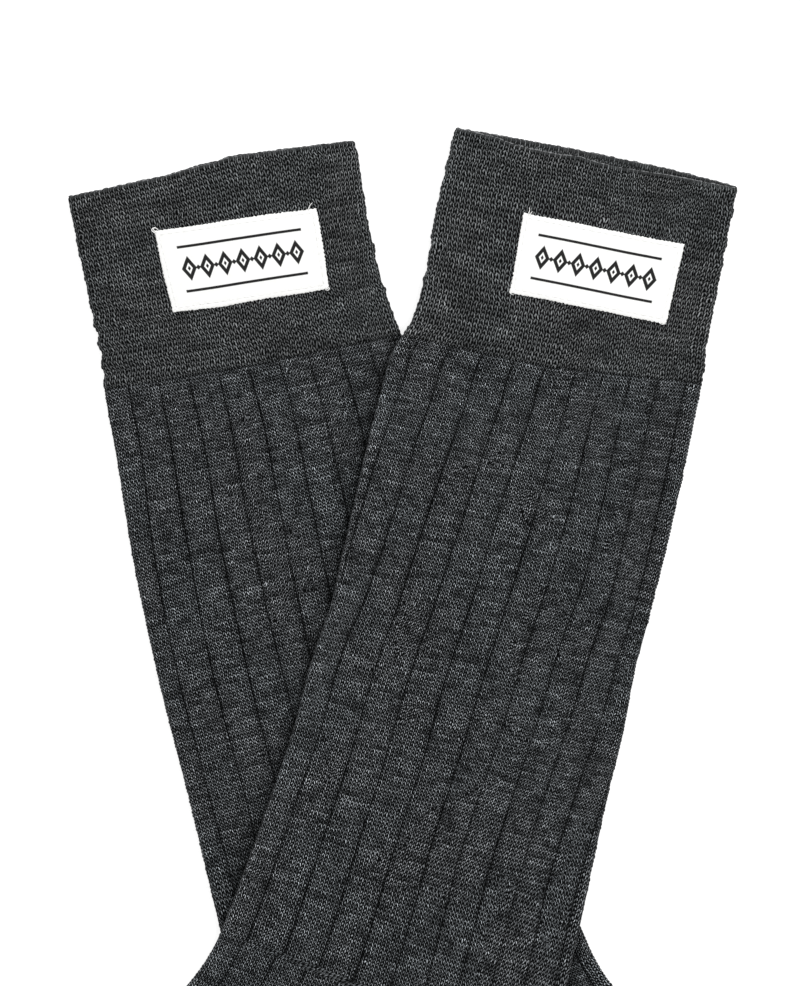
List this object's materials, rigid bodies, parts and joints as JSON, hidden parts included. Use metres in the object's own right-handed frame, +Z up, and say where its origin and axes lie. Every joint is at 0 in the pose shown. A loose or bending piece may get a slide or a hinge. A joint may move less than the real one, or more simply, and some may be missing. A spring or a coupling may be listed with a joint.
{
  "type": "pair of crew socks",
  "caption": "Pair of long ribbed wool crew socks laid flat, one leg across the other, each with a plain knitted cuff and a small white woven label sewn on the cuff.",
  "frame": {"origin": "on the surface that the socks lie on, under the middle of the pair's bounding box", "axes": "+Z up from the surface, +Y from the feet towards the cuffs, +X to the right of someone who looks down with the cuffs away from them"},
  "size_m": [0.4703, 0.4004, 0.0082],
  "materials": {
    "charcoal_wool": "matte heathered wool knit",
    "label_tape": "matte white woven tape with a dark woven pattern"
  },
  "bodies": {
    "root": {"left_sock": "charcoal_wool", "right_sock": "charcoal_wool", "left_label": "label_tape", "right_label": "label_tape"}
  },
  "joints": []
}
